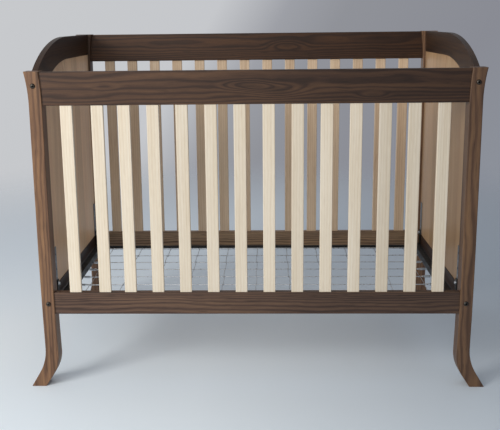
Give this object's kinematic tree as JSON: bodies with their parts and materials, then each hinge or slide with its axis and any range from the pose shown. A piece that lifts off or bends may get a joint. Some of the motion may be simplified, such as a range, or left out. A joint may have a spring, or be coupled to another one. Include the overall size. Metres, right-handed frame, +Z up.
{
  "type": "baby crib",
  "caption": "Slatted baby crib with S-curved posts, higher rear side, arched solid end panels and a height-adjustable wire mattress support.",
  "frame": {"origin": "on the floor, under the middle of the crib", "axes": "+X to the crib's right seen from its low front side, +Y from the front side to the rear side, +Z up"},
  "size_m": [1.484, 0.779, 1.13],
  "materials": {
    "walnut": "satin oiled",
    "maple": "satin clear",
    "black_enamel": "semi-gloss",
    "zinc_wire": "bright zinc plated",
    "zinc_plate": "satin zinc plated",
    "dark_bolt": "dark oxide"
  },
  "bodies": {
    "crib_frame": {"barrel_nuts": "zinc_wire", "end_bottom_rail_left": "walnut", "end_bottom_rail_right": "walnut", "end_panel_left": "maple", "end_panel_right": "maple", "end_top_rail_left": "walnut", "end_top_rail_right": "walnut", "front_bottom_rail": "walnut", "front_post_left": "walnut", "front_post_right": "walnut", "front_slat_01": "maple", "front_slat_02": "maple", "front_slat_03": "maple", "front_slat_04": "maple", "front_slat_05": "maple", "front_slat_06": "maple", "front_slat_07": "maple", "front_slat_08": "maple", "front_slat_09": "maple", "front_slat_10": "maple", "front_slat_11": "maple", "front_slat_12": "maple", "front_slat_13": "maple", "front_slat_14": "maple", "front_top_rail": "walnut", "height_strip_front_left": "zinc_plate", "height_strip_front_right": "zinc_plate", "height_strip_rear_left": "zinc_plate", "height_strip_rear_right": "zinc_plate", "post_bolts": "dark_bolt", "rear_bottom_rail": "walnut", "rear_post_left": "walnut", "rear_post_right": "walnut", "rear_slat_01": "maple", "rear_slat_02": "maple", "rear_slat_03": "maple", "rear_slat_04": "maple", "rear_slat_05": "maple", "rear_slat_06": "maple", "rear_slat_07": "maple", "rear_slat_08": "maple", "rear_slat_09": "maple", "rear_slat_10": "maple", "rear_slat_11": "maple", "rear_slat_12": "maple", "rear_slat_13": "maple", "rear_slat_14": "maple", "rear_top_rail": "walnut", "strip_screws": "zinc_wire"},
    "mattress_support": {"border_rods": "zinc_wire", "corner_straps": "black_enamel", "cross_links": "zinc_wire", "edge_hooks": "zinc_wire", "end_springs": "zinc_wire", "hook_bolts": "zinc_wire", "lengthwise_wires": "zinc_wire", "support_angle_left": "black_enamel", "support_angle_right": "black_enamel", "support_side_bar_front": "black_enamel", "support_side_bar_rear": "black_enamel"}
  },
  "joints": [
    {"name": "support_height", "type": "slide", "parent": "crib_frame", "child": "mattress_support", "axis": [0, 0, 1], "range_m": [0, 0.1]}
  ]
}
